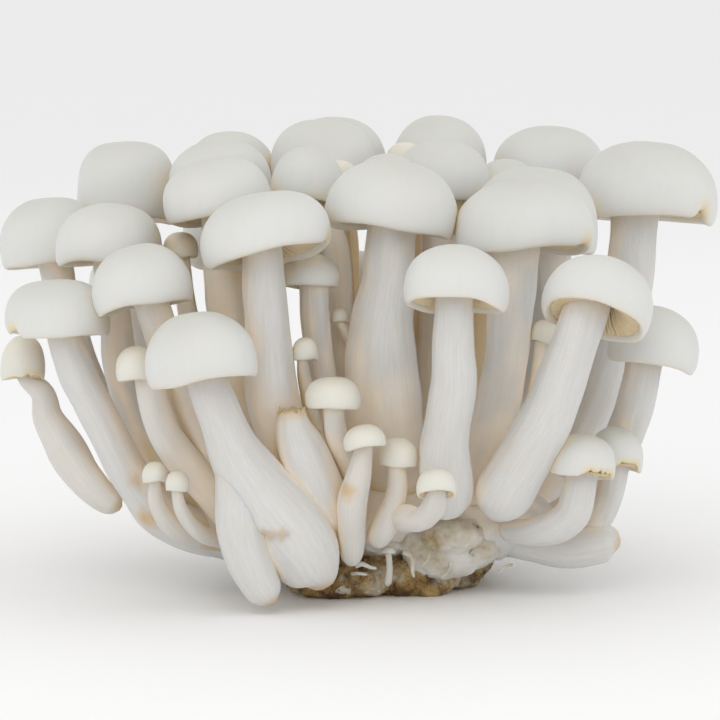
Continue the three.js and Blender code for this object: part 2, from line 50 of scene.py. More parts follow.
# As in the part: name; centre of the cap's rim; width; rise; lean towards +X and +Y in degrees;
# then the stem's centre line from cap to foot as x, y, z and thickness.
MUSHROOMS = [
  ["left_1", [-56.5, 8, 56.5], 19.5, 12.5, [-3, 6],
    [[-56, 7, 56, 6], [-53.5, 6, 45, 6], [-48, 3, 31, 6.5], [-37, -1, 16, 7], [-27, -3, 10, 6.5]]],
  ["left_2", [-45.5, -8, 58], 19.5, 11, [0, 6],
    [[-45.5, -8, 58, 6], [-44.5, -8, 48, 6], [-43, -8, 37.5, 6.5], [-37, -8, 23, 6.5], [-27, -8, 11.5, 6]]],
  ["left_3", [-44, 20, 64], 19, 14.5, [2, 6],
    [[-43.5, 19, 64, 7.5], [-41.5, 17, 46, 8.5], [-33, 10, 26.5, 9], [-20, 3, 10.5, 9]]],
  ["left_4", [-38, -24.5, 52], 17.5, 11, [-10, 7],
    [[-37, -23, 52, 6.5], [-34.5, -21, 43.5, 6], [-31.5, -20, 35.5, 6], [-27, -20, 25.5, 6.5],
      [-21, -20, 15, 7]]],
  ["left_5", [-53.5, -20, 46.5], 18, 10, [0, 5],
    [[-52.5, -20, 46, 6.5], [-50.5, -19, 39.5, 7], [-46, -18, 30.5, 7], [-41.5, -17, 21.5, 7.5],
      [-35.5, -15, 14, 8.5], [-28, -13, 10.5, 8.5], [-22, -11, 10, 7]]],
  ["left_6", [-61, -8, 37.5], 8, 8, [2, 8],
    [[-60.5, -7, 38, 3.5], [-57.5, -8, 35, 4.5], [-56.5, -9, 31, 5.5], [-54.5, -10, 27.5, 6.5],
      [-52.5, -10, 24, 7], [-50, -11, 20.5, 6.5], [-46.5, -11.5, 17, 5.5], [-43.5, -12, 15, 3.8]]],
  ["left_7", [-39.5, -27, 39.5], 7.5, 6, [-4, 6],
    [[-37.5, -26, 39, 5], [-36, -25, 32.5, 5.5], [-33, -24, 26.5, 6], [-28, -23, 20.5, 6],
      [-22, -22, 13.5, 6]]],
  ["left_8", [-33, -3, 59], 6.5, 4.5, [0, 6],
    [[-33, -3, 59, 3], [-31.5, -3, 47.5, 3.5], [-27, -5, 28, 4.5], [-20.5, -8, 12.5, 4.5]]],
  ["front_1", [-27.5, -38, 40.5], 19.5, 12, [-9, 5],
    [[-27, -37, 40, 7], [-25, -36, 34.5, 7.8], [-22.8, -35, 28.7, 8.8], [-19.3, -34, 22.4, 11.5],
      [-15.2, -33, 17, 13.2], [-11.8, -32, 12.5, 13.6], [-9.8, -31.5, 8.6, 12.4], [-8.3, -31, 5.4, 9.5],
      [-8, -31, 3.5, 6]]],
  ["front_2", [-17, -25, 60.5], 22.5, 11.5, [-12, 13],
    [[-18, -24, 61, 7.5], [-17.5, -24, 53, 8], [-17, -24, 45.5, 8.5], [-16.2, -24, 36.5, 9.5],
      [-14, -22, 28.5, 10], [-12, -19, 20, 10.5], [-9, -15, 12.5, 10]]],
  ["front_3", [15, -40, 53.5], 18, 10.5, [4, 15],
    [[15, -38, 53.5, 7], [15, -36, 46.5, 7.5], [15, -34, 39.5, 8], [14, -32, 32.5, 8.5],
      [13.5, -30, 26, 9.5], [14, -28, 20.5, 9.5], [14.5, -25, 16, 7]]],
  ["front_4", [39, -35, 50.5], 19.5, 11, [16, 26],
    [[37, -34, 51, 8], [35, -33, 44.5, 8.5], [32, -31, 35.5, 9.5], [28.5, -29, 28, 9.9],
      [24.4, -27, 20.5, 10.8], [21.8, -25.5, 15.5, 9.4]]],
  ["centre_1", [-25.5, -9.5, 66.5], 20, 10.5, [-10, 10],
    [[-25.5, -10, 66.5, 7.5], [-24.5, -10, 53.5, 8.5], [-22.5, -10, 37.5, 9], [-18.5, -10, 25, 9],
      [-13.5, -10, 14.5, 9]]],
  ["centre_2", [-10.5, 0, 68.5], 13.5, 10, [3, 8],
    [[-9.5, 0, 68.5, 4.5], [-5.5, -1, 61, 4.5], [-4.5, -3, 47.5, 4.5], [-3.5, -6, 33.5, 5],
      [-3, -9, 19.5, 5.5]]],
  ["centre_3", [-5, 11.5, 69.5], 8.5, 6, [0, 6],
    [[-5, 11.5, 70, 3.5], [-4, 9, 50, 4], [-2.5, 4, 30.5, 4.5], [-1.5, 0, 15, 4.5]]],
  ["centre_4", [4.5, -15, 64.5], 23, 12.5, [7, 6],
    [[4.5, -15, 64, 8.5], [4, -15, 56, 9.5], [3, -15, 47, 11], [3, -15, 39, 12.5], [3.5, -14, 31, 14],
      [4, -13, 24, 13], [5, -12, 15.5, 10]]],
  ["centre_5", [4, 6, 68.5], 13, 8.5, [0, 6],
    [[4, 6, 68.5, 6], [4.5, 4, 47, 7.5], [5, 0, 27.5, 8], [6, -2, 13, 8]]],
  ["centre_6", [-10.5, -12.5, 54.5], 12.5, 6, [2, 8],
    [[-9, -13, 54.5, 5.5], [-8.5, -12, 45, 5.5], [-7, -12, 34.5, 5.5], [-5, -12, 22, 6]]],
  ["right_1", [52, 21, 64], 26.5, 14.5, [3, 6],
    [[49.5, 20, 63.5, 9], [49, 19, 56.5, 9], [47.5, 17, 46, 9], [43.5, 13, 32.5, 9], [37.5, 9, 21, 8.5],
      [28, 4, 11, 7.5]]],
  ["right_2", [27.5, -16, 61], 24, 12.5, [-1, 7],
    [[26, -16, 60.5, 9], [25.5, -16, 52.5, 8.5], [25, -16, 44.5, 8], [23.5, -16, 35, 8], [21, -15, 25, 8],
      [18, -12, 15, 7.5]]],
  ["right_3", [30.5, 6, 59], 22.5, 15.5, [0, 6],
    [[32.5, 6, 59, 8], [33.5, 5, 47, 7.5], [31.5, 2, 32.5, 7.5], [26.5, -1, 20.5, 7.5], [20, -3, 12.5, 7]]],
  ["right_4", [50.5, -12, 40.5], 16.5, 10.5, [10, 4],
    [[49, -11, 39.5, 6], [47.5, -9, 32, 6.5], [45, -7, 25, 6.5], [40.5, -5, 16.5, 6.5], [31, -4, 9.5, 6.5]]],
  ["young_1", [37.5, -27, 22.5], 12, 7.5, [6, 10],
    [[37.5, -26, 22, 5.5], [37, -25.5, 19, 6], [36, -25, 15.7, 6.3], [33, -24, 13.3, 6], [28.5, -22, 12.3, 5],
      [24, -18, 12, 4]]],
  ["young_2", [44, -16, 22.5], 10, 7.5, [5, 8],
    [[44, -15, 22.5, 5], [43, -14, 17, 5], [40, -12, 11.5, 5.5], [34, -10, 9, 5], [26, -8, 9, 4.5]]],
  ["young_3", [-10.5, -22, 42.5], 4.5, 4, [0, 6],
    [[-11, -22, 42.5, 2], [-10.5, -20, 38, 2.5], [-8.5, -17, 28, 3], [-7, -14, 19, 3]]],
  ["young_4", [-5.5, -31, 35], 9.5, 5.5, [0, 6],
    [[-5.5, -31, 34.5, 4], [-5, -29, 29.5, 4], [-3, -26, 23.5, 4], [-2.5, -22, 16, 4]]],
  ["young_5", [0, -37, 29], 7.5, 4, [-9, 7],
    [[-0.5, -36, 28.5, 3.5], [-1.2, -35, 24, 4.5], [-2.3, -34, 19.5, 5.3], [-2.4, -32, 15.5, 5.2],
      [-2.4, -29, 10.5, 4.6], [-2.4, -27, 7.5, 3.5]]],
  ["young_6", [5.5, -31, 25], 7, 5, [3, 6],
    [[5.5, -31, 25, 3.5], [5.4, -30, 20.5, 3.8], [4.2, -29, 16, 4.8], [2.6, -27.5, 12.8, 4.6],
      [1.8, -26, 10.6, 3.6]]],
  ["young_7", [12, -42, 21.5], 7, 4.5, [0, 22],
    [[12, -41, 22.5, 3.5], [11.5, -39, 19, 4], [9.5, -36, 16.5, 4], [7, -31, 16, 5], [7.5, -22, 14, 4]]],
  ["young_8", [-36.5, -29, 22], 4.5, 3.5, [0, 6],
    [[-36.5, -29, 22, 2], [-36, -28, 17.5, 3], [-32, -24, 12.5, 4], [-24, -16, 9.5, 4]]],
  ["young_9", [-32.5, -33, 21], 4, 3.5, [0, 6],
    [[-32.5, -33, 21, 2], [-31.5, -32, 17, 2.5], [-28, -28, 12.5, 3], [-21, -18, 9.5, 3]]],
  ["young_10", [-4.5, -10, 48], 3.5, 2.5, [0, 6],
    [[-4.5, -10, 48, 2], [-1.5, -9, 41, 2], [-1, -7, 30.5, 2], [-1, -4, 19, 2.5]]],
  ["young_11", [31.5, -16, 45], 5.5, 4, [10, 4],
    [[31, -16, 45, 2.5], [30, -15, 36.5, 3], [27, -13, 25.5, 3.5], [21.5, -10, 15.5, 4]]],
  ["back_1", [-26, 10, 68], 19.5, 11.5, [-4, 6],
    [[-26, 10, 67.5, 7.5], [-24.5, 9, 46.5, 9], [-20.5, 5, 27, 9.5], [-14.5, 0, 12, 9]]],
  ["back_2", [-25, 29, 68.5], 17.5, 11.5, [0, 6],
    [[-25, 28, 68, 7.5], [-22.5, 24, 43.5, 8.5], [-17.5, 14, 24, 9], [-11, 5, 11.5, 9]]],
  ["back_3", [-7.5, 23.5, 70.5], 19, 12, [0, 6],
    [[-7.5, 23, 70, 7.5], [-6.5, 18, 44, 9], [-5, 11, 24.5, 9.5], [-3.5, 5, 12, 9.5]]],
  ["back_4", [-6, 43, 70], 21, 12, [0, 4],
    [[-6, 42, 69.5, 8], [-5, 33, 42.5, 9], [-3, 20, 23, 9.5], [-1.5, 10, 11.5, 9.5]]],
  ["back_5", [7.5, 29, 71.5], 8, 6.5, [0, 6],
    [[7.5, 29, 71, 3.5], [9, 22, 46, 6], [9, 12, 27, 7], [8, 5, 13, 6]]],
  ["back_6", [14, 18, 67.5], 18.5, 11.5, [2, 6],
    [[14, 18, 67, 7.5], [14, 14, 44.5, 8.5], [12.5, 8, 24.5, 9], [10.5, 2, 12.5, 9]]],
  ["back_7", [14, 40, 70.5], 18, 12, [0, 4],
    [[14, 40, 70, 7.5], [14, 32, 42.5, 9], [12, 19, 23.5, 9], [9.5, 9, 11.5, 9]]],
  ["back_8", [26, 27, 67.5], 10.5, 7.5, [0, 6],
    [[26, 27, 67.5, 4], [23.5, 21, 46, 7], [20, 13, 27, 7], [14.5, 4, 12.5, 6]]],
  ["back_9", [35, 42, 68.5], 22, 12, [0, 4],
    [[35, 41, 68, 8], [33.5, 33, 44.5, 9.5], [28, 22, 25, 10], [18.5, 11, 11, 9.5]]],
  ["back_10", [-43, 38, 48], 18, 11, [-6, -8],
    [[-42, 37, 48, 6.5], [-38, 31, 35, 7], [-28, 20, 21, 7], [-16, 9, 11, 7]]],
  ["back_11", [-25, 48, 55], 20, 12, [-3, -10],
    [[-25, 46, 55, 9], [-22, 38, 38, 9.5], [-15, 25, 22, 9.5], [-9, 12, 11, 9]]],
  ["back_12", [-3, 57, 44], 19, 11.5, [0, -12],
    [[-3, 55, 44, 9], [-2.5, 45, 31, 9.5], [-2, 30, 18, 10], [-1, 14, 10, 9.5]]],
  ["back_13", [18, 56, 47], 20, 12, [3, -12],
    [[18, 54, 47, 9], [16, 45, 33, 9.5], [11, 30, 19, 10], [6, 14, 10, 9.5]]],
  ["back_14", [40, 51, 40], 18, 11, [6, -10],
    [[39, 50, 40, 6.5], [35, 42, 29, 7], [26, 28, 18, 7.5], [14, 13, 10, 7]]],
  ["back_15", [45.5, 34, 33], 15, 9.5, [8, -5],
    [[44.5, 33, 33, 6], [41, 29, 25, 6.5], [33, 20, 16, 6.5], [22, 9, 10, 6.5]]],
  ["back_young_1", [-33, 41, 27], 10, 6.5, [-8, -10],
    [[-32, 40, 27, 4], [-28, 34, 19, 4.5], [-21, 24, 13, 5], [-13, 13, 9, 5]]],
  ["back_young_2", [-14, 49, 23], 8.5, 5.5, [-3, -12],
    [[-14, 48, 23, 3.5], [-13, 40, 15, 4], [-10, 28, 11, 4.5], [-7, 15, 9, 4.5]]],
  ["back_young_3", [9, 47, 20], 9.5, 6, [2, -12],
    [[9, 46, 20, 4], [9, 38, 13, 4.5], [8, 27, 10, 5], [6, 15, 8.5, 5]]],
  ["back_young_4", [29, 42, 16], 8, 5, [8, -10],
    [[28, 41, 16, 3.5], [26, 35, 11, 4], [21, 25, 9, 4.5], [14, 14, 8.5, 4.5]]],
  ["pin_1", [4, -23, 8.6], 2.6, 1.3, [0, 6],
    [[4, -23, 8.6, 1.1], [4.2, -23, 5.5, 1.1], [3.8, -22, 2.6, 1.4]]],
]

BROKEN_STEM = [[-12.8, -31, 35, 5], [-12.5, -31, 31.8, 6.8], [-11.4, -30.5, 28.5, 8.6],
               [-8.8, -29.5, 22.2, 9.4], [-6.6, -27, 15.9, 9], [-5, -23, 10, 8]]
SPLIT_FOOT = [[-22.3, -35, 25, 7], [-21.8, -35.5, 20, 8], [-21.5, -36, 15.5, 8.2], [-20.3, -36, 10.5, 7.8],
              [-18.5, -36, 6.2, 7], [-17, -36, 3.6, 5.8], [-15.9, -36, 1.9, 3.4]]
SIDE_FOOT = [[20, -9, 10.5, 7], [27, -12, 9.3, 6.8], [34, -13, 8, 7], [39, -13, 8.6, 7.6],
             [43, -13, 9.2, 7], [45.2, -13, 9, 4.6]]
BASE_LUMPS = [[(0, -3, 13), (23, 18, 8.5)], [(-19, -8, 11.5), (13, 12, 7)], [(20, -6, 11.5), (15, 13, 6.5)],
              [(0, 9, 11.5), (20, 14, 7)]]

# How square a crown is: 2 is a plain dome, more is boxier
CROWNS = {"left_3": 2.9, "left_1": 2.4, "right_1": 2.35, "front_4": 2.25, "right_3": 2.5, "young_4": 2.5}
PLAIN_CROWN = 2.3
# Torn margins: where round the cap in degrees, half the tear's width in degrees and its height
TEARS = {
    "right_1": (-42, 9, 2.6), "right_2": (-25, 12, 0.9), "left_5": (-150, 14, 1.4),
    "left_6": (-50, 40, 1.3), "young_1": (-55, 45, 1.6), "front_2": (-12, 10, 0.7),
    "young_2": (-60, 40, 1.4)}
# Feet that end in the open, with a tan cut or torn end
OPEN_FEET = {"front_1", "left_6"}
# Tan scars on stems: where, and how far they reach
SCARS = [
    ((-27, -21, 7.5), 3.0), ((-38.5, -19.5, 14), 2.2), ((-7.5, -35, 2.5), 2.2),
    ((-3.2, -36.5, 21.5), 1.8), ((-40, -21.5, 21), 1.6), ((45.5, -15, 7), 2.2), ((25, -28, 27), 1.3)]
# The knife nicked the broad front stem: the nick's height, and its two ends along X
NICK_HEIGHT, NICK_LEFT, NICK_RIGHT = 14.2, -19.5, -12.5


# ---------------------------------------------------------------- shader maths

class Value:
    """A number socket of a node tree; arithmetic on it adds Math nodes."""

    def __init__(self, tree, socket):
        self.tree, self.socket = tree, socket

    def maths(self, operation, *others):
        return self.tree.node("ShaderNodeMath", {"operation": operation}, *(self, *others))

    def __add__(self, other):
        return self.maths("ADD", other)

    __radd__ = __add__

    def __sub__(self, other):
        return self.maths("SUBTRACT", other)

    def __rsub__(self, other):
        return self.tree.node("ShaderNodeMath", {"operation": "SUBTRACT"}, other, self)

    def __mul__(self, other):
        return self.maths("MULTIPLY", other)

    __rmul__ = __mul__

    def clamp(self):
        return self.tree.node("ShaderNodeMath", {"operation": "ADD", "use_clamp": True}, self, 0.0)

    def step(self, low, high):
        """0 under low, 1 over high, smooth between."""
        return self.tree.node("ShaderNodeMapRange", {"interpolation_type": "SMOOTHSTEP"}, self, low, high)


class Finish:
    """One material and its node tree."""

    def __init__(self, name, **constants):
        self.material = bpy.data.materials.new(name)
        self.material.use_nodes = True
        self.tree = self.material.node_tree
        self.shader = self.tree.nodes["Principled BSDF"]
        for socket, value in constants.items():
            self.shader.inputs[socket.replace("_", " ")].default_value = value

    def node(self, kind, settings=None, *inputs, out=0, **named):
        made = self.tree.nodes.new(kind)
        for name, value in (settings or {}).items():
            if name == "stops":
                self.set_stops(made.color_ramp, value)
            else:
                setattr(made, name, value)
        sockets = list(zip(made.inputs, inputs))
        sockets += [(made.inputs[key.replace("_", " ")], value) for key, value in named.items()]
        for socket, value in sockets:
            if isinstance(value, Value):
                self.tree.links.new(value.socket, socket)
            elif value is not None:
                socket.default_value = value
        return Value(self, made.outputs[out])

    @staticmethod
    def set_stops(ramp, stops):
        while len(ramp.elements) < len(stops):
            ramp.elements.new(0.5)
        for element, (place, colour) in zip(ramp.elements, stops):
            element.position = place
            element.color = (*colour, 1)

    def attribute(self, name, out=2):
        return self.node("ShaderNodeAttribute", {"attribute_name": name}, out=out)

    def place(self):
        return self.node("ShaderNodeTexCoord", out=3)

    def stretched(self, vector, scale):
        return self.node("ShaderNodeMapping", None, vector, (0, 0, 0), (0, 0, 0), scale)

    def noise(self, vector, scale, detail=4.0, rough=0.55):
        return self.node("ShaderNodeTexNoise", None, Vector=vector, Scale=scale, Detail=detail,
                         Roughness=rough)

    def ramp(self, factor, *stops):
        return self.node("ShaderNodeValToRGB", {"stops": stops}, factor)

    def mix(self, factor, first, second, how="MIX"):
        colours = [(*c, 1) if isinstance(c, tuple) else c for c in (first, second)]
        unused = [None] * 5  # a Mix node's number and vector sockets come before its colours
        settings = {"data_type": "RGBA", "blend_type": how}
        return self.node("ShaderNodeMix", settings, factor, *unused, *colours, out=2)

    def apply_surface(self, colour, roughness=None, height=None, depth=0.0002, strength=0.5):
        self.tree.links.new(colour.socket, self.shader.inputs["Base Color"])
        if roughness is not None:
            self.tree.links.new(roughness.socket, self.shader.inputs["Roughness"])
        if height is not None:
            bump = self.node("ShaderNodeBump", None, Strength=strength, Distance=depth, Height=height)
            self.tree.links.new(bump.socket, self.shader.inputs["Normal"])
        return self.material


def flesh(name, scatter=0.35, **constants):
    """Pale translucent flesh: what every part of a mushroom is made of."""
    made = Finish(name, Roughness=0.55, Subsurface_Weight=scatter, Subsurface_Scale=0.0022, **constants)
    made.shader.inputs["Subsurface Radius"].default_value = (1.0, 0.62, 0.38)
    made.shader.inputs["Specular IOR Level"].default_value = 0.32
    return made


def painted_recess_glow(made, colour, deepest, low, high, most):
    """Painted shade and glow in recesses: where flesh faces other flesh of the cluster, its colour is mixed
    towards a warm tan that stands in for shade and for light passed through the flesh.
    """
    return made.mix(made.attribute("recess").step(low, high) * most, colour, deepest)


def cap_skin(name, crown, flank, margin):
    made = flesh(name)
    grain = made.attribute("grain", out=1)
    edge = made.attribute("edge")
    mottle = made.noise(made.place(), 160.0)
    patches = made.noise(made.place(), 45.0, 3.0)
    # Greyer, darker crown and lighter flank: partly the caps' own tone, partly painted shade on the tops of
    # the caps.
    colour = made.mix(edge.step(0.1, 0.75), crown, flank)
    colour = made.mix(edge.step(0.82, 1.0) * 0.6, colour, margin)
    colour = made.mix(patches.step(0.45, 0.75) * 0.12, colour, margin)
    streak = made.noise(made.stretched(grain, (0.9, 0.9, 0.16)), 1.6, 5.0)
    colour = made.mix(streak.step(0.45, 0.75) * 0.10, colour, crown)
    # Painted shade and glow: caps turn warm tan where they face other flesh.
    colour = painted_recess_glow(made, colour, (0.93, 0.80, 0.60), 0.45, 1.0, 0.7)
    torn = made.attribute("cut") * (made.noise(made.place(), 600.0) * 0.8 + 0.6)
    colour = made.mix(torn.clamp(), colour, (0.76, 0.62, 0.34))
    pores = made.noise(made.place(), 2600.0, 3.0)
    height = mottle * 0.35 + pores * 0.12 + streak * 0.3
    return made.apply_surface(colour, mottle * 0.18 + 0.44, height, 0.00018, 0.35)


def gill_flesh_painted_shade():
    made = flesh("gill_flesh_painted_shade", 0.3)
    tone = made.noise(made.place(), 900.0, 3.0)
    # Painted shade: the gills are coloured tan, as they look in the shadow under the caps, not their own
    # cream.
    colour = made.mix(tone, (0.70, 0.52, 0.30), (0.80, 0.65, 0.44))
    return made.apply_surface(colour, tone * 0.15 + 0.6, tone, 0.0001, 0.4)


def stem_flesh(name, pale, rosy, tan):
    made = flesh(name)
    grain = made.attribute("grain", out=1)
    along = made.attribute("edge")
    fibres = made.noise(made.stretched(grain, (1, 1, 0.035)), 4.6, 6.0, 0.7)
    fine = made.noise(made.stretched(grain, (1, 1, 0.022)), 13.0, 4.0, 0.65)
    patches = made.noise(made.place(), 90.0, 3.0)
    colour = made.mix(fibres.step(0.35, 0.68), rosy, pale)
    colour = made.mix(fine.step(0.5, 0.75) * 0.25, colour, (0.60, 0.59, 0.575))
    colour = made.mix(patches.step(0.5, 0.85) * 0.14, colour, tan)
    colour = made.mix(along.step(0.84, 1.0) * 0.3, colour, tan)
    # Painted shade and glow: stems turn warm tan where they face other flesh, and deeper orange in the
    # deepest recesses.
    colour = painted_recess_glow(made, colour, (1.0, 0.875, 0.72), 0.30, 0.85, 0.85)
    colour = painted_recess_glow(made, colour, (0.95, 0.74, 0.44), 0.82, 1.0, 0.7)
    cut = made.attribute("cut")
    ragged = made.noise(made.place(), 700.0)
    colour = made.mix((cut * (ragged * 0.8 + 0.5)).clamp(), colour, (0.66, 0.47, 0.25))
    height = fibres * 0.6 + fine * 0.4 + patches * 0.4
    return made.apply_surface(colour, fibres * 0.2 + 0.45, height, 0.0004, 0.55)


def block_fibre():
    made = Finish("block_fibre", Roughness=0.9)
    coarse = made.noise(made.place(), 210.0, 6.0, 0.65)
    fine = made.noise(made.place(), 900.0, 5.0, 0.7)
    mould = made.noise(made.place(), 95.0, 6.0, 0.7)
    colour = made.ramp(coarse, (0.30, (0.030, 0.015, 0.006)), (0.44, (0.19, 0.105, 0.035)),
                       (0.56, (0.46, 0.31, 0.12)), (0.72, (0.66, 0.52, 0.32)))
    colour = made.mix(mould.step(0.48, 0.64) * 0.85, colour, (0.66, 0.60, 0.48))
    colour = made.mix(fine.step(0.62, 0.75) * 0.8, colour, (0.05, 0.028, 0.012))
    return made.apply_surface(colour, fine * 0.2 + 0.75, coarse * 0.6 + fine * 0.5, 0.0012, 0.9)


def mould_white():
    made = flesh("mould_white", 0.2)
    fluff = made.noise(made.place(), 420.0, 6.0, 0.7)
    stain = made.noise(made.place(), 130.0, 5.0, 0.6)
    colour = made.ramp(stain, (0.32, (0.40, 0.29, 0.14)), (0.43, (0.62, 0.56, 0.45)),
                       (0.56, (0.74, 0.72, 0.67)))
    return made.apply_surface(colour, fluff * 0.2 + 0.75, fluff * 0.7 + stain, 0.0009, 0.9)


def plain_floor():
    made = Finish("floor_card", Roughness=0.85)
    tone = made.noise(made.place(), 3.0)
    return made.apply_surface(made.mix(tone, (0.965, 0.965, 0.965), (0.975, 0.975, 0.975)))


# The crown colours are darker partly as painted shade on the caps' tops.
CAP = cap_skin("cap_skin", (0.60, 0.605, 0.555), (0.72, 0.725, 0.705), (0.74, 0.68, 0.58))
YOUNG_CAP = cap_skin("young_cap_skin", (0.73, 0.70, 0.60), (0.77, 0.755, 0.69), (0.74, 0.64, 0.47))
GILL = gill_flesh_painted_shade()
STEM = stem_flesh("stem_flesh", (0.73, 0.735, 0.725), (0.69, 0.675, 0.65), (0.74, 0.67, 0.56))
YOUNG_STEM = stem_flesh("young_stem_flesh", (0.75, 0.745, 0.715), (0.72, 0.69, 0.64), (0.75, 0.66, 0.52))
BLOCK = block_fibre()
MOULD = mould_white()


# ---------------------------------------------------------------- shapes

def smooth_line(points, step):
    """A curve through the points of a centre line, foot first, with its thickness."""
    path = [Vector(p) for p in reversed(points)]
    path = [path[0] * 2 - path[1]] + path + [path[-1] * 2 - path[-2]]
    line = []
    for p0, p1, p2, p3 in zip(path, path[1:], path[2:], path[3:]):
        count = max(2, round((p2 - p1).length / step))
        for k in range(count):
            t = k / count
            line.append(0.5 * (2 * p1 + (p2 - p0) * t + (2 * p0 - 5 * p1 + 4 * p2 - p3) * t ** 2
                               + (3 * p1 - p0 - 3 * p2 + p3) * t ** 3))
    return line + [path[-2]]


class Skin:
    """Vertices and faces of one piece, with what its materials read at each vertex."""

    def __init__(self):
        self.points, self.faces, self.slots = [], [], []
        self.grain, self.edge, self.cut = [], [], []

    def add(self, points, faces, slot, grain=None, edge=None, cut=None):
        start = len(self.points)
        self.points += points
        self.faces += [[start + i for i in face] for face in faces]
        self.slots += [slot] * len(faces)
        self.grain += grain or [Vector(p) for p in points]
        self.edge += edge or [0.0] * len(points)
        self.cut += cut or [0.0] * len(points)

    def rings(self, rings, slot, grain, edge, cut=None):
        """A closed skin over rings of points, with a pole at each end."""
        sides = len(rings[0])
        points = [p for ring in rings for p in ring]
        faces = []
        for r in range(len(rings) - 1):
            for s in range(sides):
                a, b = r * sides + s, r * sides + (s + 1) % sides
                faces.append([a, b, b + sides, a + sides])
        last = (len(rings) - 1) * sides
        for start, turned in ((0, True), (last, False)):
            ring = list(range(start, start + sides))
            points.append(sum((points[i] for i in ring), Vector()) / sides)
            grain = grain + [sum((grain[i] for i in ring), Vector()) / sides]
            edge = edge + [edge[start]]
            cut = cut + [cut[start]] if cut else None
            for s in range(sides):
                pair = [ring[s], ring[(s + 1) % sides]]
                faces.append([*(pair[::-1] if turned else pair), len(points) - 1])
        self.add(points, faces, slot, grain, edge, cut)

    def piece(self, name, materials):
        mesh = bpy.data.meshes.new(name)
        mesh.from_pydata([p * MM for p in self.points], [], self.faces)
        mesh.polygons.foreach_set("material_index", self.slots)
        mesh.polygons.foreach_set("use_smooth", [True] * len(self.faces))
        grain = mesh.attributes.new("grain", "FLOAT_VECTOR", "POINT")
        grain.data.foreach_set("vector", [c for p in self.grain for c in p])
        for label, values in (("edge", self.edge), ("cut", self.cut)):
            mesh.attributes.new(label, "FLOAT", "POINT").data.foreach_set("value", values)
        for made in materials:
            mesh.materials.append(made)
        shape = bmesh.new()
        shape.from_mesh(mesh)
        bmesh.ops.recalc_face_normals(shape, faces=[face for face in shape.faces if face.material_index != 1])
        shape.to_mesh(mesh)
        shape.free()
        made = bpy.data.objects.new(name, mesh)
        bpy.context.scene.collection.objects.link(made)
        return made


def scar(point):
    """How tan a scar is at this point, 0 where there is none."""
    ragged = 1 + 0.35 * noise.noise(point * 0.9)
    return max(0.0, *(1.3 - (point - Vector(spot)).length / (reach * ragged) for spot, reach in SCARS))


def nick(rings, cut, sides):
    """Press the knife's nick into the front of a stem: a sharp ledge that fades out downwards."""
    for r, ring in enumerate(rings):
        for s, point in enumerate(ring):
            inside = min((point.x - NICK_LEFT) / 1.5, (NICK_RIGHT - point.x) / 1.5, 1.0)
            below = NICK_HEIGHT - point.z + 0.25 * noise.noise(Vector((point.x, 0, 3)))
            if inside > 0 and point.y < -28 and -0.9 < below < 7:
                deep = 1.3 * inside * (max(0.0, (below + 0.2) / 0.2) if below < 0 else (1 - below / 7) ** 1.5)
                point.y += min(deep, 1.3)
                if -0.9 < below < 0.8:
                    cut[r * sides + s] = max(cut[r * sides + s], 0.55 * inside)


def stem_rings(line, seed, sides, blunt_foot=True):
    rings, grain, edge = [], [], []
    phases = [math.sin(seed * k * 12.9898) * math.pi for k in range(1, 7)]
    travelled = 0.0
    total = sum((b.xyz - a.xyz).length for a, b in zip(line, line[1:]))
    for k, point in enumerate(line):
        ahead, behind = line[min(k + 1, len(line) - 1)], line[max(k - 1, 0)]
        tangent = (ahead.xyz - behind.xyz).normalized()
        turn = Vector((0, 0, 1)).rotation_difference(tangent)
        travelled += (point.xyz - behind.xyz).length if k else 0.0
        radius = point[3] / 2
        end = min(travelled / (radius * 0.9), 1.0) if blunt_foot else 1.0
        radius *= math.sqrt(max(0.08, 1 - (1 - end) ** 2))
        swell = 1 + 0.05 * noise.noise(Vector((seed * 3.1, travelled * 0.09, 0)))
        ring = []
        for s in range(sides):
            a = 2 * math.pi * s / sides
            form = (1 + 0.045 * math.cos(2 * a + phases[0])
                    + 0.03 * math.cos(3 * a + phases[1] + travelled * 0.05)
                    + 0.010 * math.cos(9 * a + phases[2] + travelled * 0.03)
                    + 0.007 * math.cos(14 * a + phases[3] - travelled * 0.04))
            lump = 0.07 * noise.noise(Vector((math.cos(a), math.sin(a), travelled * 0.16 + seed * 5)))
            r = radius * swell * (form + lump)
            across = Vector((math.cos(a), math.sin(a), 0))
            ring.append(point.xyz + turn @ (across * r))
            grain.append(Vector((across.x * 3.2 + seed, across.y * 3.2, travelled)))
            edge.append(travelled / total)
        rings.append(ring)
    return rings, grain, edge


def cap_section(crown, gills_at):
    """Half section of a cap from the crown over the margin and in under the gills."""
    section = []
    for k in range(16):
        t = math.pi / 2 * (k + 0.35) / 15.35
        section.append((math.sin(t) ** (2 / crown), 0.24 + 0.76 * math.cos(t) ** (2 / crown)))
    for k in range(1, 6):
        t = math.pi / 2 * k / 5
        section.append((0.90 + 0.10 * math.cos(t), 0.24 * (1 - math.sin(t))))
    for out, up in ((0.865, 0.012), (0.835, 0.05), (0.80, 0.11), (0.62, gills_at), (0.35, gills_at + 0.04)):
        section.append((out, up))
    return section


